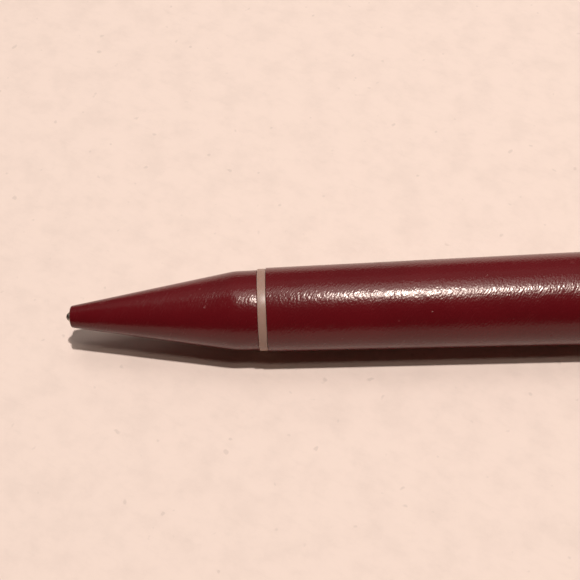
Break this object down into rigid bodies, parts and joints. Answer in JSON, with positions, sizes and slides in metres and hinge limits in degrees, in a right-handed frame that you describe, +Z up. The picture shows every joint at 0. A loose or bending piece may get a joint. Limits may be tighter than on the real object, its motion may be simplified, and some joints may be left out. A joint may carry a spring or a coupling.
{
  "type": "retractable ballpoint pen",
  "caption": "Slim burgundy click ballpoint pen lying on its side: tapered screw-off nose, white trim ring, push button, toothed latch, sprung refill and pocket clip.",
  "frame": {"origin": "on the surface the pen lies on, under the middle of its bounding box", "axes": "+X along the pen's axis from the writing tip to the push button, +Z up, the clip on the -Y side and pointing down to the surface"},
  "size_m": [0.1404, 0.0138, 0.0106],
  "materials": {
    "burgundy_plastic": "deep burgundy moulded plastic, glossy and finely scratched by use",
    "white_plastic": "off-white, slightly translucent moulded plastic with a soft gloss",
    "latch_plastic": "natural, waxy low-friction plastic",
    "refill_plastic": "natural semi-translucent plastic",
    "tube_plastic": "clear to milky extruded tube",
    "ink": "thick dark ballpoint paste",
    "nickel_silver": "turned nickel silver with fine lathe marks",
    "carbide_ball": "polished tungsten carbide",
    "spring_steel": "drawn spring wire"
  },
  "bodies": {
    "barrel": {"barrel": "burgundy_plastic", "end_collar": "white_plastic"},
    "ring": {"trim_ring": "white_plastic"},
    "cone": {"nose_cone": "burgundy_plastic"},
    "button": {"push_button": "white_plastic", "thrust_tube": "latch_plastic"},
    "refill": {"refill_tube": "tube_plastic", "ink_column": "ink", "point_holder": "refill_plastic", "refill_point": "nickel_silver", "tail_plug": "refill_plastic", "return_spring": "spring_steel"},
    "rotor": {"cam_rotor": "latch_plastic"},
    "ball": {"writing_ball": "carbide_ball"},
    "clip": {"clip": "white_plastic"}
  },
  "joints": [
    {"name": "button_press", "type": "slide", "parent": "barrel", "child": "button", "axis": [-1, 0, 0], "range_m": [0, 0.0048], "stiffness_N_per_m": 350, "springref_m": -0.005},
    {"name": "refill_slide", "type": "slide", "parent": "barrel", "child": "refill", "axis": [-1, 0, 0], "range_m": [0, 0.004], "deforming": ["return_spring"]},
    {"name": "rotor_turn", "type": "hinge", "parent": "refill", "child": "rotor", "pos_m": [0.04, 0.00162, 0.0053], "axis": [1, 0, 0], "range_deg": [0, 18]},
    {"name": "ball_roll", "type": "hinge", "parent": "refill", "child": "ball", "pos_m": [-0.06975, 0.00162, 0.0053], "axis": [0, 1, 0], "continuous": true},
    {"name": "ring_slide", "type": "slide", "parent": "barrel", "child": "ring", "axis": [-1, 0, 0], "range_m": [0, 0.005]},
    {"name": "nose_turn", "type": "hinge", "parent": "ring", "child": "cone", "pos_m": [-0.049, 0.00162, 0.0053], "axis": [-1, 0, 0], "range_deg": [0, 1440]},
    {"name": "clip_flex", "type": "hinge", "parent": "barrel", "child": "clip", "pos_m": [0.05819, -0.00507, 0.00214], "axis": [0, -0.4276, 0.904], "range_deg": [0, 5], "stiffness_Nm_per_rad": 0.4, "springref_deg": -1.15}
  ],
  "couplings": [
    {"joint": "refill_slide", "follows": "button_press", "ratio": 0.83333},
    {"joint": "rotor_turn", "follows": "button_press", "rad_per_m": 65.449},
    {"joint": "nose_turn", "follows": "ring_slide", "rad_per_m": 5026.5}
  ]
}
